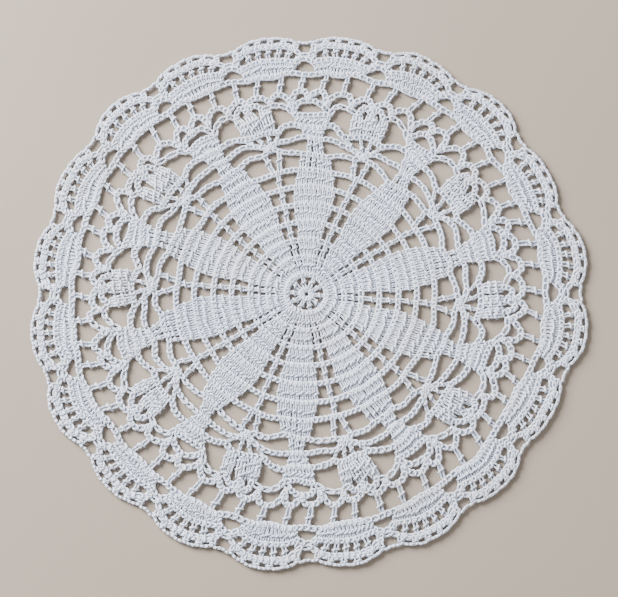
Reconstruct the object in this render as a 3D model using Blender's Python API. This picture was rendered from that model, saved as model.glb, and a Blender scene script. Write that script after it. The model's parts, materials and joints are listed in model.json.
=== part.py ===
# A round crocheted lace doily lying flat, as one solid sheet with its openings cut through.
#
# Ten petals of close stitches grow from the middle. A single stitch column runs out between
# each two petals and opens into a small fan. A net of chain arches follows, and twenty
# scalloped shells make the rim. The underside is flat at Z = 0 and the top is slightly raised
# over the petals, fans and shells.
#
# Everything is placed in the doily's own chart: an angle in degrees from the middle of a fan
# and a radius in millimetres. to_plane() turns a chart place into X and Y, with the slow lean
# of the outer rounds and the uneven reach of the hand-made scallops.

import math

import bpy
from mathutils import Vector
from mathutils.geometry import delaunay_2d_cdt

MM = 0.001

# Layout
REPEATS = 10
REPEAT_ANGLE = 360 / REPEATS
FAN_AXIS = -4.5
PETAL_AXIS = REPEAT_ANGLE / 2

# Rim
RIM_RADIUS = 120.0
SCALLOPS = 20
SCALLOP_ANGLE = 360 / SCALLOPS
FIRST_SCALLOP = -6.0
SCALLOP_DEPTH = 5.8
SCALLOP_ROUNDNESS = 2.3
POINTS_PER_SCALLOP = 10

# The outer rounds were worked with a slight turn against the inner ones
# radius in millimetres, and how far it is turned in degrees
LEAN = (
    (60.0, 0.0),
    (66.0, 0.6),
    (72.0, 2.0),
    (80.0, 2.4),
    (88.0, 3.4),
    (93.0, 3.0),
    (98.0, 2.3),
    (106.0, 1.9),
    (125.0, 1.75),
)

# The hand-made unevenness grows from the petals outwards
REACH_START = 40.0
CENTRE_SHIFT = (-1.32, 1.67)

# Thickness of the cloth
NET_THICKNESS = 1.4
RAISED_THICKNESS = 2.0
EDGE_THICKNESS = 1.2

COTTON_COLOUR = (0.74, 0.76, 0.80, 1.0)
COTTON_ROUGHNESS = 0.92

# Reach of each scallop's tip from the middle, in millimetres, counted anticlockwise
# from the first scallop clockwise of +X
SCALLOP_REACH = (
    122.5, 122.5, 119.0, 121.5, 120.0, 117.6, 117.6, 119.0, 120.5, 119.2,
    118.6, 120.0, 121.0, 119.5, 120.2, 121.0, 119.6, 119.7, 119.0, 118.3,
)

# The openings of one repeat, which the mirrored ones have on both sides of the fan's middle.
# angle: degrees from the middle of the fan; radius: of the opening's middle; taper: outer
# width over inner width; bow: how far the opening's middle stands out past its ends
OPENING_COLUMNS = ("name", "angle", "radius", "width", "height", "taper", "bow", "corners", "mirrored")
OPENINGS = (
    ("column, round 4", 5.3, 27.9, 2.1, 4.3, 1.1, 0.0, 6, True),
    ("column, round 5", 4.2, 36.0, 2.5, 5.4, 1.0, 0.0, 6, True),
    ("column, round 6", 4.2, 44.2, 3.6, 5.2, 1.0, 0.0, 6, True),
    ("column, round 7", 5.2, 51.8, 5.9, 4.9, 1.1, 0.3, 6, True),
    ("beside the column, round 8", 7.7, 59.2, 8.3, 4.8, 1.2, 0.4, 8, True),
    ("inside the V", 0.0, 63.7, 3.2, 3.6, 2.0, 0.0, 6, False),
    ("long slot, round 9", 10.2, 66.7, 10.4, 3.0, 1.0, 0.5, 8, True),
    ("beside the fan, round 10", 11.6, 73.1, 7.0, 4.6, 1.1, 0.4, 6, True),
    ("beside the fan, round 11", 9.2, 80.9, 6.9, 7.4, 1.0, 0.6, 8, True),
    ("over the petal tip", 18.0, 84.2, 7.2, 2.2, 1.0, 1.0, 8, False),
    ("arch, round 12, left", 3.0, 90.6, 5.3, 3.4, 0.8, 0.4, 6, False),
    ("arch, round 12, right", -15.0, 89.6, 5.0, 3.4, 0.8, 0.4, 6, False),
    ("net, middle", 0.0, 97.3, 6.9, 7.6, 1.0, 0.6, 8, False),
    ("net, first", 6.0, 97.3, 6.9, 7.6, 1.0, 0.6, 8, True),
    ("net, second", 12.0, 97.3, 6.9, 7.6, 1.0, 0.6, 8, True),
    ("net, last", 18.0, 97.3, 6.9, 7.6, 1.0, 0.6, 8, False),
    ("between shells, inner, left", 3.0, 103.7, 5.2, 2.9, 1.0, 0.3, 6, False),
    ("between shells, inner, right", -15.0, 103.7, 5.2, 2.9, 1.0, 0.3, 6, False),
    ("between shells, outer, left", 5.3, 108.6, 4.4, 2.8, 1.0, 0.3, 6, False),
    ("between shells, outer, right", -12.7, 108.6, 4.4, 2.8, 1.0, 0.3, 6, False),
)

# Places away from any opening where the top follows the raised stitches
PETAL_RIDGE_RADII = (8.0, 16.0, 24.0, 32.0, 40.0, 48.0, 56.0, 63.0)
PETAL_LENGTH = 70.0
PETAL_HALF_ANGLE = 12.0
FAN_RIDGE_RADII = (72.0, 79.0, 84.0)
FAN_START = 68.0
FAN_END = 88.0
FAN_HALF_ANGLE = 7.0
SHELL_RIDGE_RADIUS = 107.0
SHELL_HALF_WIDTH = 8.0
SHELL_RIDGE_ANGLES = (-4.5, 0.0, 4.5)


def smooth(value, start, end):
    """0 up to start, 1 from end on, and an even S between."""
    t = min(max((value - start) / (end - start), 0.0), 1.0)
    return t * t * (3 - 2 * t)


def reach_at(angle):
    """The reach of the rim at this chart angle of the whole doily, between its scallops' tips."""
    place = (angle - FIRST_SCALLOP) / SCALLOP_ANGLE
    first = math.floor(place)
    share = smooth(place - first, 0.0, 1.0)
    here = SCALLOP_REACH[first % SCALLOPS]
    following = SCALLOP_REACH[(first + 1) % SCALLOPS]
    return here + (following - here) * share


def lean_at(radius):
    """How far the rounds at this radius are turned, in degrees."""
    for (inner, before), (outer, after) in zip(LEAN, LEAN[1:]):
        if radius < outer:
            return before + (after - before) * smooth(radius, inner, outer)
    return LEAN[-1][1]


def to_plane(angle, radius):
    """X and Y in millimetres of a place in the chart."""
    uneven = (reach_at(angle) / RIM_RADIUS - 1) * smooth(radius, REACH_START, RIM_RADIUS)
    out = radius * (1 + uneven)
    turn = math.radians(FAN_AXIS + angle + lean_at(radius))
    return Vector((out * math.cos(turn) + CENTRE_SHIFT[0], out * math.sin(turn) + CENTRE_SHIFT[1]))


def from_middle(angle, middle):
    """How far this angle lies from the nearest repeat of the middle, in degrees."""
    return abs((angle - middle + REPEAT_ANGLE / 2) % REPEAT_ANGLE - REPEAT_ANGLE / 2)


def dome(distance, half_width):
    """1 on a ridge, falling to 0 at its half width."""
    return max(0.0, 1 - (distance / half_width) ** 2)


def rim_radius(angle):
    """The scalloped outline before the hand-made unevenness."""
    place = (angle - FIRST_SCALLOP) / SCALLOP_ANGLE
    off_tip = 2 * abs(place - round(place))
    return RIM_RADIUS - SCALLOP_DEPTH * off_tip**SCALLOP_ROUNDNESS


def thickness(angle, radius):
    """The cloth's thickness at a place in the chart."""
    off_petal = from_middle(angle, PETAL_AXIS)
    petal = dome(off_petal, PETAL_HALF_ANGLE) * (1 - smooth(radius, PETAL_LENGTH - 6, PETAL_LENGTH))
    in_fan = smooth(radius, FAN_START, FAN_START + 4) * (1 - smooth(radius, FAN_END - 4, FAN_END))
    fan = dome(from_middle(angle, 0.0), FAN_HALF_ANGLE) * in_fan
    shell = dome(radius - SHELL_RIDGE_RADIUS, SHELL_HALF_WIDTH)
    raised = max(petal, fan, shell)
    net = NET_THICKNESS + (RAISED_THICKNESS - NET_THICKNESS) * raised
    at_edge = smooth(radius, rim_radius(angle) - 4, rim_radius(angle))
    return net + (EDGE_THICKNESS - net) * at_edge


def rim_loop():
    """The outline's places in the chart, anticlockwise."""
    steps = SCALLOPS * POINTS_PER_SCALLOP
    angles = [FIRST_SCALLOP + 360 * i / steps for i in range(steps)]
    return [(angle, rim_radius(angle)) for angle in angles]


def opening_loop(opening, side):
    """The places of one opening in its repeat, as a polygon with softened corners."""
    corners = opening["corners"]
    turned = 90.0 if opening["height"] > opening["width"] and corners == 6 else 0.0
    start = turned if corners == 6 else 180.0 / corners
    loop = []
    for i in range(corners):
        turn = math.radians(start + 360.0 * i / corners)
        across = math.copysign(abs(math.cos(turn)) ** 0.75, math.cos(turn))
        out = math.copysign(abs(math.sin(turn)) ** 0.75, math.sin(turn))
        spread = 1 + (opening["taper"] - 1) * out / 2
        across_mm = across * spread * opening["width"] / 2
        out_mm = out * opening["height"] / 2 + opening["bow"] * (0.5 - across**2)
        radius = opening["radius"] + out_mm
        loop.append((side * (opening["angle"] + math.degrees(across_mm / opening["radius"])), radius))
    return loop


def all_opening_loops():
    """Every opening of the doily, in the chart."""
    loops = []
    for repeat in range(REPEATS):
        for row in OPENINGS:
            opening = dict(zip(OPENING_COLUMNS, row))
            for side in (1, -1) if opening["mirrored"] else (1,):
                loop = opening_loop(opening, side)
                loops.append([(angle + REPEAT_ANGLE * repeat, radius) for angle, radius in loop])
    return loops


def ridge_places():
    """Single places on the raised petals, fans and shells."""
    places = [(0.0, 0.0)]
    for repeat in range(REPEATS):
        middle = REPEAT_ANGLE * repeat
        places += [(middle + PETAL_AXIS, radius) for radius in PETAL_RIDGE_RADII]
        places += [(middle, radius) for radius in FAN_RIDGE_RADII]
    for scallop in range(SCALLOPS):
        tip = FIRST_SCALLOP + SCALLOP_ANGLE * scallop
        places += [(tip + off, SHELL_RIDGE_RADIUS) for off in SHELL_RIDGE_ANGLES]
    return places


def inside(point, loop):
    """Whether a point in the plane lies inside a closed loop of points."""
    crossed = False
    for a, b in zip(loop, loop[1:] + loop[:1]):
        if (a.y > point.y) != (b.y > point.y):
            if point.x < a.x + (b.x - a.x) * (point.y - a.y) / (b.y - a.y):
                crossed = not crossed
    return crossed


def lace_faces(loops, places):
    """Points and triangles of the cloth between the outline, loops[0], and the openings."""
    chart = [place for loop in loops for place in loop] + places
    flat = [to_plane(*place) for place in chart]
    edges = []
    owner = {}
    first = 0
    for number, loop in enumerate(loops):
        last = first + len(loop)
        edges += [(i, i + 1 if i + 1 < last else first) for i in range(first, last)]
        owner.update((i, number) for i in range(first, last))
        first = last
    points, _, triangles, originals, _, _ = delaunay_2d_cdt(flat, edges, [], 0, 1e-6)
    source = [found[0] for found in originals]
    kept = []
    for triangle in triangles:
        owners = {owner.get(source[i], -1) for i in triangle}
        middle = sum((points[i] for i in triangle), Vector((0, 0))) / 3
        if len(owners) == 1 and -1 not in owners:
            number = owners.pop()
            if inside(middle, [to_plane(*place) for place in loops[number]]) == (number > 0):
                continue
        kept.append(triangle)
    return points, kept, [thickness(*chart[i]) for i in source]


def build_doily():
    """The doily's mesh: the lace triangles below and above, joined along every edge of the cloth."""
    points, triangles, heights = lace_faces([rim_loop()] + all_opening_loops(), ridge_places())
    count = len(points)
    below = [(p.x * MM, p.y * MM, 0.0) for p in points]
    above = [(p.x * MM, p.y * MM, height * MM) for p, height in zip(points, heights)]
    faces = []
    border = set()
    for a, b, c in triangles:
        faces.append((c, b, a))
        faces.append((a + count, b + count, c + count))
        for edge in ((a, b), (b, c), (c, a)):
            border.symmetric_difference_update({edge} if edge[::-1] not in border else {edge[::-1]})
    for a, b in border:
        faces.append((a, b, b + count, a + count))
    mesh = bpy.data.meshes.new("doily")
    mesh.from_pydata(below + above, [], faces)
    mesh.validate()
    mesh.update()
    mesh.shade_smooth()
    mesh.set_sharp_from_angle(angle=math.radians(40))
    return mesh


def cotton():
    """Cool white crochet cotton."""
    material = bpy.data.materials.new("crochet cotton")
    material.use_nodes = True
    surface = material.node_tree.nodes["Principled BSDF"]
    surface.inputs["Base Color"].default_value = COTTON_COLOUR
    surface.inputs["Roughness"].default_value = COTTON_ROUGHNESS
    surface.inputs["Metallic"].default_value = 0.0
    return material


def main():
    for old in list(bpy.data.objects):
        bpy.data.objects.remove(old, do_unlink=True)
    doily = bpy.data.objects.new("doily", build_doily())
    doily.data.materials.append(cotton())
    bpy.context.scene.collection.objects.link(doily)


main()
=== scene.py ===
# A round crocheted lace doily, every stitch of it modelled in yarn.
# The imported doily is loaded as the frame, and the yarn pieces below stand for its solid.
# Sizes are millimetres until a mesh is made; angles are degrees, anticlockwise from a fan's middle.
import json
import math

import bpy
import numpy as np
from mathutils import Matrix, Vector

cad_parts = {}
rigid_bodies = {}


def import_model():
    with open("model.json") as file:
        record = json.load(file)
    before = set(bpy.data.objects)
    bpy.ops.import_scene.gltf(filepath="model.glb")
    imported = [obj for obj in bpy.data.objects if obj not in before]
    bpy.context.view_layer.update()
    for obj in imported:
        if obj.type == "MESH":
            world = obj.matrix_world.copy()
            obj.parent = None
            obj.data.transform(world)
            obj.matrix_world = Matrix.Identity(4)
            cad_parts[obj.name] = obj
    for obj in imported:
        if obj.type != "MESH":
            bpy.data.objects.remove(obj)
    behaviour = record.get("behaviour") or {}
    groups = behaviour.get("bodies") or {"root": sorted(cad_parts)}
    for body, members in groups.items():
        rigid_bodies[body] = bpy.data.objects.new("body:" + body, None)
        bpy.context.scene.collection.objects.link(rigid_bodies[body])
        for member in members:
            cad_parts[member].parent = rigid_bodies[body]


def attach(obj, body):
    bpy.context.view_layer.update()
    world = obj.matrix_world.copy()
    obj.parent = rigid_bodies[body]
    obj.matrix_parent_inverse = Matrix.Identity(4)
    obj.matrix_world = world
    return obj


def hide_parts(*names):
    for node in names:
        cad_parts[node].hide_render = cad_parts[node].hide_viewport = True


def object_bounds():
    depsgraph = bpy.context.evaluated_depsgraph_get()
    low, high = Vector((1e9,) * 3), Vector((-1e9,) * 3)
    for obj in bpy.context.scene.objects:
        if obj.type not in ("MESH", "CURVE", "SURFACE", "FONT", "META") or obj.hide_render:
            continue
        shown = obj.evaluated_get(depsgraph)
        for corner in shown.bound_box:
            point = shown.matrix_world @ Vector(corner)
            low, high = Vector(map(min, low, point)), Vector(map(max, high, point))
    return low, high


for old in list(bpy.data.objects):
    bpy.data.objects.remove(old, do_unlink=True)
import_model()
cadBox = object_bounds()
dice = np.random.default_rng(41)
millimetre = 0.001          # in the metres of a mesh


# The doily's chart: where an angle and a radius lie on the table
chart = {
    "repeats": 10,
    "fanAxis": -4.5,
    "petalAxis": 18.0,
    "rimRadius": 120.0,
    "scallops": 20,
    "firstScallop": -6.0,
    "scallopDepth": 5.8,
    "scallopRoundness": 2.3,
    "centreShift": (-1.32, 1.67),
    "unevenFrom": 40.0,
    # radius, and how far the rounds there are turned against the inner ones
    "lean": (
        (60.0, 0.0), (66.0, 0.6), (72.0, 2.0), (80.0, 2.4), (88.0, 3.4),
        (93.0, 3.0), (98.0, 2.3), (106.0, 1.9), (125.0, 1.75),
    ),
    # how far each scallop's tip reaches, from the first one clockwise of +X
    "reach": (
        122.5, 122.5, 119.0, 121.5, 120.0, 117.6, 117.6, 119.0, 120.5, 119.2,
        118.6, 120.0, 121.0, 119.5, 120.2, 121.0, 119.6, 119.7, 119.0, 118.3,
    ),
    # hand-made unevenness: how far apart the swells are, and how far they push a stitch
    # in the close rounds and in the open ones between them
    "swells": ((38.0, 0.5, 0.7), (14.0, 0.25, 1.3), (7.5, 0.12, 0.6)),
    "openRounds": ((48.0, 66.0), (98.0, 110.0)),
    "lift": (46.0, 0.35),
}
chart["repeatAngle"] = 360 / chart["repeats"]
chart["scallopAngle"] = 360 / chart["scallops"]


def smooth(value, start, end):
    t = np.clip((value - start) / (end - start), 0, 1)
    return t * t * (3 - 2 * t)


# The waves behind the unevenness, angles in radians
waves = {
    "count": 4,             # how many cross each other
    "heading": 0.83,        # how far each is turned from the one before
    "longer": 0.21,         # how much longer each is than the one before, as a share of the first
    "start": 1.7,
    "pushX": 0.4,           # where the waves start that push a stitch along X, along Y and up
    "pushY": 2.3,
    "lift": 1.1,
}


def swell(x, y, spacing, phase):
    # even, repeatable waves in several directions, from -1 to 1
    total = 0
    for turn in range(waves["count"]):
        heading = phase + turn * waves["heading"]
        along = x * math.cos(heading) + y * math.sin(heading)
        cycles = along * 2 * math.pi / spacing / (1 + waves["longer"] * turn)
        total = total + np.sin(cycles + phase * (turn + 1) * waves["start"])
    return total / waves["count"]


def toPlane(angle, radius):
    # the place in the chart as X and Y
    angle, radius = np.asarray(angle, float), np.asarray(radius, float)
    place = (angle - chart["firstScallop"]) / chart["scallopAngle"]
    first = np.floor(place).astype(int)
    reach = np.array(chart["reach"])
    share = smooth(place - first, 0, 1)
    here, following = reach[first % chart["scallops"]], reach[(first + 1) % chart["scallops"]]
    uneven = (here + (following - here) * share) / chart["rimRadius"] - 1
    out = radius * (1 + uneven * smooth(radius, chart["unevenFrom"], chart["rimRadius"]))
    lean = np.zeros_like(radius) + chart["lean"][0][1]
    for (inner, before), (outer, after) in zip(chart["lean"], chart["lean"][1:]):
        lean = lean + (after - before) * smooth(radius, inner, outer)
    turn = np.radians(chart["fanAxis"] + angle + lean)
    x = out * np.cos(turn) + chart["centreShift"][0]
    y = out * np.sin(turn) + chart["centreShift"][1]
    pushX, pushY = 0, 0
    inward, outward = chart["openRounds"]
    openness = smooth(radius, *inward) * (1 - smooth(radius, *outward))
    for number, (spacing, inner, outer) in enumerate(chart["swells"]):
        push = inner + (outer - inner) * openness
        pushX = pushX + push * swell(x, y, spacing, waves["pushX"] + number)
        pushY = pushY + push * swell(x, y, spacing, waves["pushY"] + number)
    return np.stack([x + pushX, y + pushY], -1)


def rimRadius(angle):
    place = (angle - chart["firstScallop"]) / chart["scallopAngle"]
    offTip = 2 * np.abs(place - np.round(place))
    return chart["rimRadius"] - chart["scallopDepth"] * offTip ** chart["scallopRoundness"]


# Yarn: strands that are swept along their paths with three plies twisted round each other
yarn = {
    "diameter": 1.06,
    "sides": 6,
    "plies": 3,
    "firstSide": (0.31, 0.17, 0.93),    # a direction that no strand runs along
    "plyDepth": 0.06,       # how far the grooves between the plies go in, as a share of the radius
    "plySpacing": 1.25,     # from one groove to the next along a strand
    "legTwist": 60.0,       # degrees that the plies turn from one point of a strand to the next
    "loose": 0.05,          # how far each point of a strand strays by chance
    "uneven": 0.07,         # how much wider or narrower one stitch is than the next
    "slip": 0.04,           # how far the yarn thrown over a stitch lies out of its place
}

# Each strand of a stitch: across, along, height
stitches = {
    # a tall stitch from foot (0) to head (7.9): two legs and the yarn thrown over them
    "tall": {
        "length": 7.9,
        "open": (
            (
                (-0.10, -1.10, 0.65), (-0.26, -0.50, 1.20), (-0.40, 0.45, 1.42), (-0.56, 1.70, 1.12),
                (-0.56, 3.10, 1.02), (-0.34, 4.40, 0.92), (-0.22, 5.60, 1.00), (-0.44, 6.80, 1.08),
                (-0.50, 7.80, 0.92),
            ),
            (
                (0.30, -1.10, 0.65), (0.36, -0.45, 1.12), (0.42, 0.50, 1.30), (0.52, 1.70, 1.00),
                (0.44, 3.10, 1.12), (0.58, 4.40, 1.04), (0.64, 5.60, 0.92), (0.54, 6.80, 0.98),
                (0.42, 7.80, 0.88),
            ),
        ),
        "closed": (
            (
                (1.04, 4.75, 1.05), (0.66, 4.62, 1.45), (-0.12, 4.20, 1.56), (-0.84, 3.75, 1.30),
                (-1.00, 3.60, 0.95), (-0.45, 3.85, 0.62), (0.35, 4.30, 0.60), (0.90, 4.65, 0.70),
            ),
        ),
    },
    # a long stitch of a puffed group, with the yarn thrown over it twice
    "puffed": {
        "length": 11.2,
        "slip": 0.07,
        "open": (
            (
                (-0.10, -1.00, 0.65), (-0.30, -0.10, 1.05), (-0.50, 1.50, 1.30), (-0.56, 3.20, 1.52),
                (-0.48, 5.00, 1.60), (-0.52, 6.80, 1.62), (-0.40, 8.50, 1.46), (-0.40, 10.00, 1.20),
                (-0.44, 11.20, 0.92),
            ),
            (
                (0.30, -1.00, 0.65), (0.38, 0.00, 1.00), (0.50, 1.60, 1.36), (0.50, 3.20, 1.46),
                (0.60, 5.00, 1.66), (0.50, 6.80, 1.58), (0.58, 8.50, 1.40), (0.50, 10.00, 1.14),
                (0.40, 11.20, 0.90),
            ),
        ),
        "closed": (
            (
                (1.04, 4.25, 1.45), (0.66, 4.12, 1.95), (-0.12, 3.70, 2.06), (-0.84, 3.25, 1.80),
                (-1.00, 3.10, 1.35), (-0.45, 3.35, 1.00), (0.35, 3.80, 1.00), (0.90, 4.15, 1.10),
            ),
            (
                (1.00, 7.95, 1.35), (0.62, 7.82, 1.85), (-0.12, 7.40, 1.98), (-0.84, 6.95, 1.72),
                (-1.02, 6.80, 1.30), (-0.45, 7.05, 0.96), (0.35, 7.50, 0.96), (0.90, 7.85, 1.05),
            ),
        ),
    },
    # a chain stitch: one long loop whose narrow end lies in the wide end of the loop before
    "chain": {
        "length": 1.0,
        "open": (),
        "closed": (
            (
                (0.0, -0.50, 0.64), (0.32, -0.34, 0.68), (0.44, -0.04, 0.80), (0.68, 0.30, 0.98),
                (0.88, 0.66, 1.18), (0.76, 1.00, 1.34), (0.30, 1.18, 1.42), (-0.30, 1.18, 1.42),
                (-0.76, 1.00, 1.34), (-0.88, 0.66, 1.18), (-0.68, 0.30, 0.98), (-0.44, -0.04, 0.80),
                (-0.32, -0.34, 0.68),
            ),
        ),
    },
    # a short stitch that grips a chain: two legs over it and the yarn thrown over them
    "short": {
        "length": 2.4,
        "open": (
            (
                (-0.12, -1.30, 0.65), (-0.32, -0.85, 1.20), (-0.58, 0.20, 1.52), (-0.72, 1.30, 1.30),
                (-0.62, 2.30, 0.92),
            ),
            (
                (0.16, -1.30, 0.65), (0.36, -0.80, 1.18), (0.58, 0.30, 1.46), (0.68, 1.35, 1.24),
                (0.54, 2.30, 0.90),
            ),
        ),
        "closed": (
            (
                (1.00, 1.55, 1.00), (0.60, 1.50, 1.36), (-0.20, 1.30, 1.50), (-0.90, 1.10, 1.22),
                (-1.02, 1.05, 0.90), (-0.40, 1.20, 0.62), (0.40, 1.40, 0.62), (0.92, 1.52, 0.72),
            ),
        ),
    },
}

# a post stands alone, so the strand behind its two legs shows
stitches["post"] = {
    "length": 7.9,
    "open": stitches["tall"]["open"] + (
        ((0.0, -1.00, 0.62), (0.06, 1.50, 0.60), (-0.06, 4.00, 0.60), (0.06, 6.30, 0.60), (0.0, 7.90, 0.62)),
    ),
    "closed": stitches["tall"]["closed"],
}


def sideways(direction, tangent):
    # what is left of the direction square to the tangent
    square = direction - (direction * tangent).sum(-1, keepdims=True) * tangent
    return square / np.maximum(np.linalg.norm(square, axis=-1, keepdims=True), 1e-9)


def sweep(paths, closed):
    # tubes of twisted plies along paths (strands, points, 3); gives their points, and how far along
    # its strand each lies
    strands, points, _ = paths.shape
    if closed:
        tangents = np.roll(paths, -1, 1) - np.roll(paths, 1, 1)
    else:
        tangents = np.gradient(paths, axis=1)
    tangents /= np.maximum(np.linalg.norm(tangents, axis=-1, keepdims=True), 1e-9)
    sides = np.empty_like(paths)
    side = sideways(np.tile(np.array(yarn["firstSide"]), (strands, 1)), tangents[:, 0])
    for i in range(points):
        side = sideways(side, tangents[:, i])
        sides[:, i] = side
    lifts = np.cross(tangents, sides)
    turns = np.arange(points) * math.radians(yarn["legTwist"])
    turns = np.tile(turns, (strands, 1))
    if closed:
        # the frame comes back turned, so the difference is spread over the loop
        back = sideways(side, tangents[:, 0])
        gap = np.arctan2((back * lifts[:, 0]).sum(-1), (back * sides[:, 0]).sum(-1))
        turns = np.arange(points)[None] / points * (2 * math.pi - gap[:, None])
    around = np.arange(yarn["sides"]) / yarn["sides"] * 2 * math.pi
    radius = yarn["diameter"] / 2 * (1 + yarn["plyDepth"] * np.cos(yarn["plies"] * around))
    angles = turns[..., None] + around
    rings = (
        paths[:, :, None]
        + sides[:, :, None] * (np.cos(angles) * radius)[..., None]
        + lifts[:, :, None] * (np.sin(angles) * radius)[..., None]
    )
    steps = np.linalg.norm(np.diff(paths, axis=1), axis=-1)
    along = np.concatenate([np.zeros((strands, 1)), np.cumsum(steps, 1)], 1)
    return rings, along


def tubeFaces(strands, points, closed):
    # quads of the tubes, as indices of their points, and which row and column each corner has
    sides = yarn["sides"]
    rows = points if closed else points - 1
    row, column = np.meshgrid(np.arange(rows), np.arange(sides), indexing="ij")
    quadRows = np.stack([row, row, row + 1, row + 1], -1).reshape(-1, 4)
    quadColumns = np.stack([column, column + 1, column + 1, column], -1).reshape(-1, 4)
    quads = (quadRows % points) * sides + quadColumns % sides
    first = np.arange(strands)[:, None, None] * points * sides
    return quads[None] + first, quadRows, quadColumns


def yarnMesh(name, groups):
    # one mesh of every strand, groups is a list of (paths, closed)
    points, quads, quadMap, caps = [], [], [], []
    count = 0
    for paths, closed in groups:
        strands, length, _ = paths.shape
        rings, along = sweep(paths, closed)
        faces, rows, columns = tubeFaces(strands, length, closed)
        quads.append(faces.reshape(-1, 4) + count)
        if closed:
            last = along[:, -1:] + np.linalg.norm(paths[:, 0] - paths[:, -1], axis=-1)[:, None]
            along = np.concatenate([along, last], 1)
        turnShare = np.broadcast_to(columns / yarn["sides"], (strands,) + columns.shape)
        quadMap.append(np.stack([turnShare, along[:, rows]], -1).reshape(-1, 4, 2))
        if not closed:
            first = np.arange(strands)[:, None] * length * yarn["sides"] + count
            ring = np.arange(yarn["sides"])
            caps += [first + ring[::-1], first + (length - 1) * yarn["sides"] + ring]
        points.append(rings.reshape(-1, 3))
        count += len(points[-1])
    points, quads = np.concatenate(points), np.concatenate(quads)
    caps = np.concatenate(caps) if caps else np.zeros((0, yarn["sides"]), int)
    corners = np.concatenate([quads.ravel(), caps.ravel()])
    sizes = np.concatenate([np.full(len(quads), 4), np.full(len(caps), yarn["sides"])])
    mesh = bpy.data.meshes.new(name)
    mesh.vertices.add(len(points))
    mesh.vertices.foreach_set("co", (points * millimetre).astype(np.float32).ravel())
    mesh.loops.add(len(corners))
    mesh.loops.foreach_set("vertex_index", corners.astype(np.int32))
    mesh.polygons.add(len(sizes))
    starts = np.concatenate([[0], np.cumsum(sizes)[:-1]])
    mesh.polygons.foreach_set("loop_start", starts.astype(np.int32))
    layer = mesh.uv_layers.new(name="yarn")
    cornerMap = np.concatenate([np.concatenate(quadMap).reshape(-1, 2), np.zeros((caps.size, 2))])
    layer.data.foreach_set("uv", cornerMap.astype(np.float32).ravel())
    mesh.update(calc_edges=True)
    mesh.validate()
    mesh.shade_smooth()
    return mesh


def strandsOf(kind, feet, heads, bows, width):
    # every strand of a kind of stitch, set between its foot and its head; a bow pushes its middle aside
    reach = heads - feet
    aside = np.stack([reach[:, 1], -reach[:, 0]], -1)
    aside /= np.maximum(np.linalg.norm(aside, axis=-1, keepdims=True), 1e-9)
    widths = width * (1 + dice.normal(0, yarn["uneven"], len(feet)))
    shape = stitches[kind]
    groups = []
    for closed in (False, True):
        for strand in shape["closed" if closed else "open"]:
            strand = np.array(strand)
            share = np.tile(strand[:, 1] / shape["length"], (len(feet), 1))
            if closed and kind != "chain":
                share = share + dice.normal(0, shape.get("slip", yarn["slip"]), (len(feet), 1))
            flat = feet[:, None] + reach[:, None] * share[..., None]
            push = widths[:, None] * strand[:, 0] - bows[:, None] * 4 * share * (1 - share)
            flat = flat + aside[:, None] * push[..., None]
            height = np.broadcast_to(strand[:, 2], flat.shape[:2])
            paths = np.concatenate([flat, height[..., None]], -1)
            paths = paths + dice.normal(0, yarn["loose"], paths.shape)
            spacing, most = chart["lift"]
            lift = most * (0.5 + 0.5 * swell(paths[..., 0], paths[..., 1], spacing, waves["lift"]))
            lowest = yarn["diameter"] / 2 * (1 + yarn["plyDepth"])
            paths[..., 2] = np.maximum(paths[..., 2] + lift, lowest)
            groups.append((paths, closed))
    return groups


# Places on the chart
def beside(axis, offset, radius):
    # the angle that lies this many millimetres beside an axis
    return axis + np.degrees(offset / radius)


def across(axis, halfWidth, radius, count):
    return [beside(axis, x, radius) for x in np.linspace(-halfWidth, halfWidth, count)]


def besideAll(axis, places):
    return [(beside(axis, offset, radius), radius) for offset, radius in places]


def feetOf(part):
    # the feet of a part's stitches, spread evenly about the petal's axis
    angles = across(chart["petalAxis"], part["footHalf"], part["foot"], part["count"])
    return [(a, part["foot"]) for a in angles]


def headsOf(part):
    angles = across(chart["petalAxis"], part["half"], part["top"], part["count"])
    return [(a, part["top"]) for a in angles]


def chainTo(start, end, links, bow=0.0, fullness=2.0, samples=60):
    # the stops of a chain from one place to another, evenly spaced along its bow, without the first
    t = np.linspace(0, 1, samples)
    angle = start[0] + (end[0] - start[0]) * t
    radius = start[1] + (end[1] - start[1]) * t + bow * (1 - np.abs(2 * t - 1) ** fullness)
    steps = np.hypot(np.diff(radius), np.radians(np.diff(angle)) * radius[1:])
    length = np.concatenate([[0], np.cumsum(steps)])
    wanted = np.linspace(0, length[-1], links + 1)[1:]
    return list(zip(np.interp(wanted, length, angle), np.interp(wanted, length, radius)))


def turned(stop, turn):
    return (stop[0] + turn, stop[1])


class Work:
    # the stitches of one piece, each as foot, head and bow, and lines of chain stops

    def __init__(self):
        self.stitches = {"tall": [], "post": [], "puffed": [], "short": []}
        self.lines = []

    def stand(self, kind, feet, heads, bows=None):
        self.stitches[kind] += list(zip(feet, heads, bows or [0.0] * len(feet)))

    def repeated(self, times):
        whole = Work()
        for number in range(times):
            turn = 360 / times * number
            for kind, rows in self.stitches.items():
                rows = [(turned(foot, turn), turned(head, turn), bow) for foot, head, bow in rows]
                whole.stitches[kind] += rows
            whole.lines += [[turned(stop, turn) for stop in line] for line in self.lines]
        return whole

    def strands(self, widths):
        groups = []
        for kind, rows in self.stitches.items():
            if rows:
                feet, heads = (toPlane(*np.array([row[i] for row in rows]).T) for i in (0, 1))
                groups += strandsOf(kind, feet, heads, np.array([row[2] for row in rows]), widths[kind])
        if self.lines:
            starts = np.concatenate([np.array(line)[:-1] for line in self.lines])
            ends = np.concatenate([np.array(line)[1:] for line in self.lines])
            straight = np.zeros(len(starts))
            groups += strandsOf("chain", toPlane(*starts.T), toPlane(*ends.T), straight, widths["chain"])
        return groups


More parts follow.
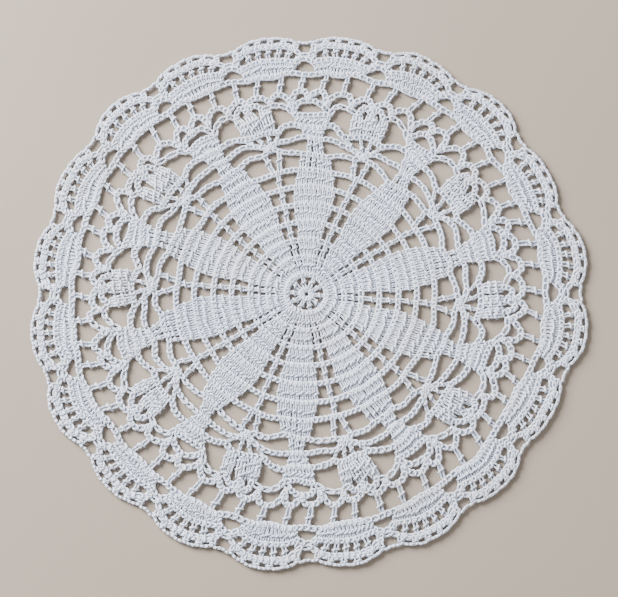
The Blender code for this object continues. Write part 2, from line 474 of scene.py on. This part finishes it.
# Petals: the first six rounds, ten wedges of close stitches with a single column between them
petals = {
    "widths": {"tall": 1.0, "post": 1.2, "chain": 1.0},
    "ringRadius": 2.2,
    "ringLinks": 8,
    "firstRound": 8.5,
    "firstLinks": 3,
    # foot radius, top radius, stitches, half width at the foot and at the top, links beside the column
    "rounds": (
        (8.5, 16.3, 3, 0.9, 2.28, 1),
        (16.3, 24.0, 5, 2.3, 4.6, 1),
        (24.0, 32.0, 6, 4.0, 5.2, 2),
        (32.0, 40.0, 8, 5.4, 7.8, 2),
        (40.0, 48.0, 9, 7.4, 8.5, 3),
    ),
}


def petalRound(work, foot, top, count, footHalf, topHalf, links):
    # a round of the petal and its column, and the line of heads along its top
    column, axis = 0.0, chart["petalAxis"]
    footAngles = across(axis, footHalf, foot, count)
    headAngles = across(axis, topHalf, top, count)
    work.stand("tall", [(a, foot) for a in footAngles], [(a, top) for a in headAngles])
    work.stand("post", [(column, foot)], [(column, top)])
    line = [(column, top)]
    line += chainTo(line[-1], (headAngles[0], top), links)
    line += [(a, top) for a in headAngles[1:]]
    line += chainTo(line[-1], (column + chart["repeatAngle"], top), links)
    work.lines.append(line)


def makePetals():
    work = Work()
    ring, first, step = petals["ringRadius"], petals["firstRound"], chart["repeatAngle"]
    work.stand("tall", [(0.0, ring)], [(0.0, first)])
    work.lines.append([(0.0, first)] + chainTo((0.0, first), (step, first), petals["firstLinks"]))
    for row in petals["rounds"]:
        petalRound(work, *row)
    whole = work.repeated(chart["repeats"])
    whole.lines.append([(0.0, ring)] + chainTo((0.0, ring), (360.0, ring), petals["ringLinks"]))
    return whole


# Petal tips and columns: rounds 7 to 9
tips = {
    "widths": {"tall": 1.05, "post": 1.35, "short": 1.2, "chain": 1.05},
    "rounds": ((48.0, 55.8, 8, 7.7, 7.1, 5),),
    "fork": {"foot": 55.8, "footHalf": 1.3, "head": 64.8, "half": 3.8, "bow": 1.0, "links": 3},
    "eighth": {"foot": 55.8, "top": 62.8, "count": 6, "footHalf": 6.3, "half": 5.2, "links": 4, "bow": 0.7},
    "stem": {"foot": 62.8, "top": 69.5, "count": 3, "footHalf": 2.8, "half": 2.0, "links": 8, "bow": 1.7},
    "knot": {"foot": 65.4, "top": 67.2},
}


def makeTips():
    work = Work()
    step = chart["repeatAngle"]
    for row in tips["rounds"]:
        petalRound(work, *row)
    fork, eighth, stem, knot = tips["fork"], tips["eighth"], tips["stem"], tips["knot"]
    left, right = ((beside(0, side * fork["half"], fork["head"]), fork["head"]) for side in (-1, 1))
    feet = [(beside(0, side * fork["footHalf"], fork["foot"]), fork["foot"]) for side in (-1, 1)]
    work.stand("post", feet, [left, right])
    for part in (eighth, stem):
        work.stand("tall", feetOf(part), headsOf(part))
    line = [left] + chainTo(left, right, fork["links"], fork["bow"])
    heads = headsOf(eighth)
    line += chainTo(right, heads[0], eighth["links"], eighth["bow"]) + heads[1:]
    line += chainTo(heads[-1], turned(left, step), eighth["links"], eighth["bow"])
    work.lines.append(line)
    heads = headsOf(stem)
    base = (0.0, knot["top"])
    line = [base] + chainTo(base, heads[0], stem["links"], stem["bow"]) + heads[1:]
    line += chainTo(heads[-1], turned(base, step), stem["links"], stem["bow"])
    work.lines.append(line)
    work.stand("short", [(0.0, knot["foot"])], [base])
    return work.repeated(chart["repeats"])


# Fans: the puffed groups over each column and the small fan over each petal's tip, rounds 10 and 11
fans = {
    "widths": {"tall": 1.05, "puffed": 1.15, "chain": 1.12},
    # how far each of a fan's three groups stands beside the axis, with its radius
    "groupFeet": ((-5.0, 74.9), (0.0, 75.4), (5.0, 74.9)),
    "groupTops": ((-6.1, 85.2), (0.0, 85.8), (6.1, 85.2)),
    # a stitch's place in its group: at the foot and at the top, and how far its middle bows out
    "group": ((-1.0, -1.25, -0.4), (0.0, 0.0, 0.0), (1.0, 1.25, 0.4)),
    "loopLinks": 5,
    "loopBow": 3.9,
    "tipFirst": {"foot": 69.5, "top": 75.8, "count": 5, "footHalf": 2.2, "half": 4.6, "links": 5, "bow": 1.9},
    "tipSecond": {"foot": 75.8, "top": 82.0, "count": 8, "footHalf": 4.7, "half": 7.3, "links": 4, "bow": 3.2},
}


def makeFans():
    work = Work()
    for (footX, footR), (topX, topR) in zip(fans["groupFeet"], fans["groupTops"]):
        feet = besideAll(0, [(footX + foot, footR) for foot, top, bow in fans["group"]])
        heads = besideAll(0, [(topX + top, topR) for foot, top, bow in fans["group"]])
        work.stand("puffed", feet, heads, [bow for foot, top, bow in fans["group"]])
    for part in (fans["tipFirst"], fans["tipSecond"]):
        work.stand("tall", feetOf(part), headsOf(part))
    # the line along the fans' tops, with a loop between two groups
    tops, second = besideAll(0, fans["groupTops"]), fans["tipSecond"]
    line = [tops[0]]
    for top in tops[1:]:
        line += chainTo(line[-1], top, fans["loopLinks"], fans["loopBow"])
    heads = headsOf(second)
    line += chainTo(line[-1], heads[0], second["links"], second["bow"]) + heads[1:]
    line += chainTo(heads[-1], turned(tops[0], chart["repeatAngle"]), second["links"], second["bow"])
    work.lines.append(line)
    return work.repeated(chart["repeats"])


# Net: every spoke, chain and post from the fans' feet out to the shells
net = {
    "widths": {"tall": 0.85, "post": 1.45, "short": 1.3, "chain": 1.18},
    "spokeFoot": 66.4,
    "spokeFootHalf": 1.9,
    "spokes": ((-8.5, 73.9), (-2.8, 74.4), (2.8, 74.4), (8.5, 73.9)),
    "spokeLinks": 3,
    "spokeBow": 0.3,
    "brow": {"half": 7.4, "radius": 82.8, "links": 8, "bow": 5.2, "fullness": 3.0},
    # angle and radius of the feet of the arches
    "feet": (
        (0.0, 89.6), (6.0, 88.4), (12.4, 86.8), (18.0, 89.0), (23.6, 86.8), (30.0, 88.4), (36.0, 89.6),
    ),
    "archTop": 92.7,
    "archLinks": 6,
    "archFullness": 2.7,
    "gripBelow": 0.7,
    "gripAbove": 1.3,
    "postFoot": 92.9,
    # the tops of the posts, and how far the chain to the next one bows: the middle of each shell
    # is pulled in
    "postTops": (101.5, 102.2, 102.2, 101.5, 102.2, 102.2),
    "postBows": (0.1, -0.6, 0.1, 0.1, -0.6, 0.1),
    "postLinks": 4,
}


def spokeLines(work):
    # the spokes and the chain along their tops
    step, first = chart["repeatAngle"], fans["tipFirst"]
    spokes = besideAll(0, net["spokes"])
    feet = [(a, net["spokeFoot"]) for a in across(0, net["spokeFootHalf"], net["spokeFoot"], len(spokes))]
    work.stand("tall", feet, spokes)
    line = [spokes[0]]
    for spoke in spokes[1:]:
        line += chainTo(line[-1], spoke, net["spokeLinks"], net["spokeBow"])
    heads = headsOf(first)
    line += chainTo(line[-1], heads[0], first["links"], first["bow"]) + heads[1:]
    line += chainTo(heads[-1], turned(spokes[0], step), first["links"], first["bow"])
    work.lines.append(line)


def makeNet():
    work = Work()
    axis, step, brow = chart["petalAxis"], chart["repeatAngle"], net["brow"]
    spokeLines(work)
    left, right = besideAll(axis, [(side * brow["half"], brow["radius"]) for side in (-1, 1)])
    work.lines.append([left] + chainTo(left, right, brow["links"], brow["bow"], brow["fullness"]))
    line, middles = [net["feet"][0]], []
    for start, end in zip(net["feet"], net["feet"][1:]):
        bow = net["archTop"] - (start[1] + end[1]) / 2
        line += chainTo(start, end, net["archLinks"], bow, net["archFullness"])
        foot, head = (start[0], start[1] - net["gripBelow"]), (start[0], start[1] + net["gripAbove"])
        work.stand("short", [foot], [head])
        middles.append((start[0] + end[0]) / 2)
    work.lines.append(line)
    posts = list(zip(middles, net["postTops"]))
    work.stand("post", [(middle, net["postFoot"]) for middle in middles], posts)
    line = [posts[0]]
    for post, bow in zip(posts[1:] + [turned(posts[0], step)], net["postBows"]):
        line += chainTo(line[-1], post, net["postLinks"], bow)
    work.lines.append(line)
    return work.repeated(chart["repeats"])


# Shells: round 14, close stitches that fan out from the middle space of each scallop
shells = {
    "widths": {"tall": 1.12, "chain": 1.0},
    "foot": 101.8,
    "endFoot": 102.2,
    "count": 13,
    "footHalf": 5.1,        # degrees either side of the scallop's tip
    "headHalf": 7.1,
    "top": 109.2,
    "endTop": 106.8,
    "bridgeLinks": 3,
    "bridgeBow": 1.7,
    "bridgeFullness": 4.0,
}


def makeShells():
    work = Work()
    tip = chart["firstScallop"]
    share = np.linspace(-1, 1, shells["count"])
    tops = shells["top"] - (shells["top"] - shells["endTop"]) * share**2
    bases = shells["foot"] + (shells["endFoot"] - shells["foot"]) * share**2
    heads = list(zip(tip + share * shells["headHalf"], tops))
    work.stand("tall", list(zip(tip + share * shells["footHalf"], bases)), heads)
    following = turned(heads[0], chart["scallopAngle"])
    bridge = [shells[key] for key in ("bridgeLinks", "bridgeBow", "bridgeFullness")]
    work.lines.append(heads + chainTo(heads[-1], following, *bridge))
    return work.repeated(chart["scallops"])


# Ribs: round 15, spaced stitches whose slits ray out over each shell
ribs = {
    "widths": {"tall": 1.28, "chain": 0.95},
    # degrees from the scallop's tip at the foot and at the head
    "feet": (-6.6, -4.5, -2.5, -0.5, 1.5, 3.6, 6.1),
    "heads": (-8.3, -5.7, -3.2, -0.6, 2.0, 4.7, 7.6),
    "top": 115.4,
    "endTop": 110.4,
    "roundness": 4.2,
    "links": 2,
    "bow": 0.1,
}


def ribTop(off):
    share = abs(off) / max(ribs["heads"])
    return ribs["top"] - (ribs["top"] - ribs["endTop"]) * share ** ribs["roundness"]


def shellTop(off):
    return shells["top"] - (shells["top"] - shells["endTop"]) * (off / shells["headHalf"]) ** 2


def makeRibs():
    work = Work()
    tip = chart["firstScallop"]
    heads = [(tip + off, ribTop(min(abs(off), max(ribs["heads"])))) for off in ribs["heads"]]
    work.stand("tall", [(tip + off, shellTop(off)) for off in ribs["feet"]], heads)
    line = [heads[0]]
    for head in heads[1:]:
        line += chainTo(line[-1], head, ribs["links"], ribs["bow"])
    line.append(turned(heads[0], chart["scallopAngle"]))
    work.lines.append(line)
    return work.repeated(chart["scallops"])


# Edging: round 16, a line of chain on the ribs, and short posts that hold a thin chain along the rim
edging = {
    "widths": {"short": 1.3, "chain": 0.8, "rim": 0.2},
    "rowHalf": 7.3,
    "rowAbove": 0.8,        # above the heads of the ribs
    "rowLinks": 13,
    "posts": (-6.9, -4.2, -1.4, 1.4, 4.2, 6.9),
    "postBelow": 3.2,
    "inset": 0.7,
    "bow": 0.3,
    "valleyBow": 1.9,
    "links": 3,
    "valleyLinks": 5,
}


def makeEdging():
    work = Work()
    tip = chart["firstScallop"]
    row = np.linspace(-edging["rowHalf"], edging["rowHalf"], edging["rowLinks"] + 1)
    work.lines.append([(tip + off, ribTop(off) + edging["rowAbove"]) for off in row])
    posts = [tip + off for off in edging["posts"]]
    feet = [(angle, rimRadius(angle) - edging["postBelow"]) for angle in posts]
    work.stand("short", feet, [(angle, rimRadius(angle) - edging["inset"]) for angle in posts])
    return work.repeated(chart["scallops"])


def makeRim():
    # between two posts the chain bows outwards a little
    work = Work()
    posts = [chart["firstScallop"] + off for off in edging["posts"]]
    line = []
    for start, end in zip(posts, posts[1:] + [posts[0] + chart["scallopAngle"]]):
        overValley = end > posts[-1]
        links = edging["valleyLinks" if overValley else "links"]
        bow = edging["valleyBow" if overValley else "bow"]
        for share in np.arange(links) / links:
            angle = start + (end - start) * share
            line.append((angle, rimRadius(angle) - edging["inset"] + bow * 4 * share * (1 - share)))
    work.lines.append(line + [turned(line[0], chart["scallopAngle"])])
    return work.repeated(chart["scallops"])


# Materials
def toLinear(hexColour):
    channels = [int(hexColour[i : i + 2], 16) / 255 for i in (1, 3, 5)]
    return [c / 12.92 if c <= 0.04045 else ((c + 0.055) / 1.055) ** 2.4 for c in channels] + [1.0]


def newMaterial(name):
    material = bpy.data.materials.new(name)
    material.use_nodes = True
    tree = material.node_tree
    return material, tree, tree.nodes["Principled BSDF"]


def addNode(tree, kind, links=None, **settings):
    node = tree.nodes.new(kind)
    for name, value in settings.items():
        setattr(node, name, value)
    for name, value in (links or {}).items():
        if isinstance(value, bpy.types.NodeSocket):
            tree.links.new(value, node.inputs[name])
        else:
            node.inputs[name].default_value = value
    return node


# Mercerised crochet cotton: three plies of long staple twisted together, bleached, then swollen in lye.
# To the eye it is a cool white, matt from afar, with a soft sheen along each ply; its grey in the grooves and
# low between the stitches is painted shade, and its upper side is painted lighter.
cotton = {
    "paintedLitTop": "#E9EFFD",    # the yarn's upper side, painted lighter where the light falls
    "paintedShadeLow": "#8F9AB3",      # painted shade, low between the stitches
    "warm": "#F6F2EC",      # patches where the bleach has worn off
    "low": 0.45,            # mm above the table below which the painted shade is full
    "high": 1.75,           # mm above the table above which the painted light of the upper side is full
    "patch": 34.0,          # mm from one washed patch to the next
    "mottle": 2.6,          # mm from one uneven stretch of yarn to the next
    # painted shade in the grooves between the plies, and how strongly it is laid on
    "paintedGrooveShade": "#8894AD",
    "grooveShadeStrength": 0.5,
    "fibre": 0.2,           # mm across a tuft of fibres; a fibre is a tenth of it, too fine to show
    "fibreLength": 1.1,
    "fibreDepth": 0.06,
    "plyDepth": 0.15,
    "roughness": (0.62, 0.86),
    "ior": 1.54,
    "sheen": 0.35,
    "sheenRoughness": 0.45,
}


def mercerisedCotton():
    material, tree, surface = newMaterial("mercerised crochet cotton")
    place = addNode(tree, "ShaderNodeTexCoord").outputs["Object"]
    height = addNode(tree, "ShaderNodeSeparateXYZ", {"Vector": place}).outputs["Z"]
    # painted shade by height: the lower the yarn lies, the darker it is drawn
    paintedShadeMask = addNode(
        tree, "ShaderNodeMapRange",
        {"Value": height, "From Min": cotton["low"] / 1000, "From Max": cotton["high"] / 1000},
    )
    patches = addNode(
        tree, "ShaderNodeTexNoise", {"Vector": place, "Scale": 1000 / cotton["patch"], "Detail": 1.0},
    )
    mottle = addNode(
        tree, "ShaderNodeTexNoise", {"Vector": place, "Scale": 1000 / cotton["mottle"], "Detail": 2.0},
    )
    # along the yarn: x runs once round a strand, y along it in millimetres
    along = addNode(tree, "ShaderNodeUVMap", uv_map="yarn").outputs["UV"]
    split = addNode(tree, "ShaderNodeSeparateXYZ", {"Vector": along})
    around = addNode(
        tree, "ShaderNodeMath",
        {0: split.outputs["X"], 1: 2 * math.pi * yarn["plies"]}, operation="MULTIPLY",
    )
    twist = addNode(
        tree, "ShaderNodeMath",
        {0: split.outputs["Y"], 1: 2 * math.pi / yarn["plySpacing"], 2: around.outputs[0]},
        operation="MULTIPLY_ADD",
    )
    ply = addNode(tree, "ShaderNodeMath", {0: twist.outputs[0]}, operation="COSINE")
    girth = yarn["diameter"] * math.pi
    tufts = addNode(
        tree, "ShaderNodeMapping",
        {"Vector": along, "Scale": (girth / cotton["fibre"], 1 / cotton["fibreLength"], 1.0)},
    )
    fibres = addNode(tree, "ShaderNodeTexNoise", {"Vector": tufts.outputs[0], "Scale": 1.0, "Detail": 2.0})
    # colour: painted shade by height, lighter on the upper side and darker low between the stitches, then by
    # patch, then painted shade in the grooves between plies, stronger where the yarn is mottled
    paintedShadeTone = addNode(
        tree, "ShaderNodeMix",
        {0: paintedShadeMask.outputs[0], 6: toLinear(cotton["paintedShadeLow"]), 7: toLinear(cotton["paintedLitTop"])}, data_type="RGBA",
    )
    warmth = addNode(
        tree, "ShaderNodeMapRange", {"Value": patches.outputs[0], "From Min": 0.5, "From Max": 0.75},
    )
    warmed = addNode(
        tree, "ShaderNodeMix", {0: warmth.outputs[0], 6: paintedShadeTone.outputs[2], 7: toLinear(cotton["warm"])},
        data_type="RGBA", blend_type="MULTIPLY",
    )
    # painted shade: the colour is drawn darker in the grooves between the plies, more so where the yarn is
    # mottled
    grooveShadeMask = addNode(tree, "ShaderNodeMapRange", {"Value": ply.outputs[0], "From Min": 0.2, "From Max": -1.0})
    mottledGrooveShade = addNode(
        tree, "ShaderNodeMath", {0: grooveShadeMask.outputs[0], 1: mottle.outputs[0]}, operation="MULTIPLY",
    )
    grooves = addNode(
        tree, "ShaderNodeMath", {0: mottledGrooveShade.outputs[0], 1: cotton["grooveShadeStrength"] * 2}, operation="MULTIPLY",
    )
    colour = addNode(
        tree, "ShaderNodeMix", {0: grooves.outputs[0], 6: warmed.outputs[2], 7: toLinear(cotton["paintedGrooveShade"])},
        data_type="RGBA",
    )
    tree.links.new(colour.outputs[2], surface.inputs["Base Color"])
    # finish: roughness varies with the fibres; plies and fibres stand out a little all over
    least, most = cotton["roughness"]
    gloss = addNode(tree, "ShaderNodeMapRange", {"Value": fibres.outputs[0], "To Min": least, "To Max": most})
    tree.links.new(gloss.outputs[0], surface.inputs["Roughness"])
    plies = addNode(
        tree, "ShaderNodeBump",
        {"Height": ply.outputs[0], "Strength": 1.0, "Distance": cotton["plyDepth"] / 2 / 1000},
    )
    relief = addNode(
        tree, "ShaderNodeBump",
        {
            "Height": fibres.outputs[0], "Strength": 1.0, "Distance": cotton["fibreDepth"] / 1000,
            "Normal": plies.outputs[0],
        },
    )
    tree.links.new(relief.outputs[0], surface.inputs["Normal"])
    surface.inputs["IOR"].default_value = cotton["ior"]
    surface.inputs["Sheen Weight"].default_value = cotton["sheen"]
    surface.inputs["Sheen Roughness"].default_value = cotton["sheenRoughness"]
    return material


# Matt emulsion rolled on a board: a pale warm grey that shines nowhere, with the roller's faint stipple
paint = {
    "colour": "#9E9183",
    "shade": "#94877A",
    "cloud": 180.0,         # mm from one cloud of colour to the next
    "stipple": 1.8,         # mm from one dot of the roller's stipple to the next
    "stippleDepth": 0.03,
    "roughness": (0.84, 0.94),
    "ior": 1.5,
}


def floorPaint():
    material, tree, surface = newMaterial("matt emulsion")
    place = addNode(tree, "ShaderNodeTexCoord").outputs["Object"]
    clouds = addNode(
        tree, "ShaderNodeTexNoise", {"Vector": place, "Scale": 1000 / paint["cloud"], "Detail": 3.0},
    )
    stipple = addNode(
        tree, "ShaderNodeTexNoise", {"Vector": place, "Scale": 1000 / paint["stipple"], "Detail": 2.0},
    )
    colour = addNode(
        tree, "ShaderNodeMix",
        {0: clouds.outputs[0], 6: toLinear(paint["shade"]), 7: toLinear(paint["colour"])}, data_type="RGBA",
    )
    tree.links.new(colour.outputs[2], surface.inputs["Base Color"])
    least, most = paint["roughness"]
    gloss = addNode(tree, "ShaderNodeMapRange", {"Value": stipple.outputs[0], "To Min": least, "To Max": most})
    tree.links.new(gloss.outputs[0], surface.inputs["Roughness"])
    relief = addNode(
        tree, "ShaderNodeBump",
        {"Height": stipple.outputs[0], "Strength": 1.0, "Distance": paint["stippleDepth"] / 1000},
    )
    tree.links.new(relief.outputs[0], surface.inputs["Normal"])
    surface.inputs["IOR"].default_value = paint["ior"]
    return material


# Putting the doily together
cottonYarn = mercerisedCotton()
for name, work, widths in (
    ("doily_petals", makePetals(), petals["widths"]),
    ("doily_tips", makeTips(), tips["widths"]),
    ("doily_fans", makeFans(), fans["widths"]),
    ("doily_net", makeNet(), net["widths"]),
    ("doily_shells", makeShells(), shells["widths"]),
    ("doily_ribs", makeRibs(), ribs["widths"]),
    ("doily_edging", makeEdging(), edging["widths"]),
):
    strands = work.strands(widths)
    if name == "doily_edging":
        strands += makeRim().strands({"chain": edging["widths"]["rim"]})
    piece = bpy.data.objects.new(name, yarnMesh(name, strands))
    piece.data.materials.append(cottonYarn)
    bpy.context.scene.collection.objects.link(piece)
    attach(piece, "root")
    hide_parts("doily")
    piece.data.calc_loop_triangles()
    print(name, len(piece.data.loop_triangles), "triangles")


# Floor, light and camera
studio = {
    # sizes and places in metres, power in watts
    "floorSize": 3.0,
    "world": {"colour": "#FFFFFF", "strength": 0.46},
    "key": {"power": 70.0, "size": 0.7, "place": (-0.85, 0.6, 0.62)},
    "fill": {"power": 6.0, "size": 1.2, "place": (0.8, -0.5, 0.9)},
}


def makeFloor():
    half = studio["floorSize"] / 2
    mesh = bpy.data.meshes.new("floor")
    corners = [(-half, -half, 0), (half, -half, 0), (half, half, 0), (-half, half, 0)]
    mesh.from_pydata(corners, [], [(0, 1, 2, 3)])
    mesh.materials.append(floorPaint())
    floor = bpy.data.objects.new("floor", mesh)
    bpy.context.scene.collection.objects.link(floor)


def makeLight(name, power, size, place):
    lamp = bpy.data.lights.new(name, "AREA")
    lamp.energy, lamp.size = power, size
    light = bpy.data.objects.new(name, lamp)
    light.location = place
    light.rotation_euler = (-Vector(place)).to_track_quat("-Z", "Y").to_euler()
    bpy.context.scene.collection.objects.link(light)


def makeWorld():
    world = bpy.data.worlds.new("studio")
    world.use_nodes = True
    background = world.node_tree.nodes["Background"]
    background.inputs["Color"].default_value = toLinear(studio["world"]["colour"])
    background.inputs["Strength"].default_value = studio["world"]["strength"]
    bpy.context.scene.world = world


# The camera stands as high over the table as the photograph's; the doily fills nine tenths of the width
view = {"elevation": 76.5, "distance": 1.25, "target": (0.0, 0.0, 0.0), "fill": 0.9, "sensor": 36.0}


def makeCamera():
    camera = bpy.data.objects.new("camera", bpy.data.cameras.new("camera"))
    lift = math.radians(view["elevation"])
    target = Vector(view["target"])
    camera.location = target + Vector((0, -math.cos(lift), math.sin(lift))) * view["distance"]
    camera.rotation_euler = (target - camera.location).to_track_quat("-Z", "Y").to_euler()
    camera.data.sensor_fit = "HORIZONTAL"
    camera.data.sensor_width = view["sensor"]
    doilyWidth = cadBox[1][0] - cadBox[0][0]
    camera.data.lens = view["sensor"] * view["distance"] * view["fill"] / doilyWidth
    bpy.context.scene.collection.objects.link(camera)
    bpy.context.scene.camera = camera


makeFloor()
print("floor laid")
for name in ("key", "fill"):
    makeLight(name, **studio[name])
makeWorld()
print("lights set")
makeCamera()
print("camera set")
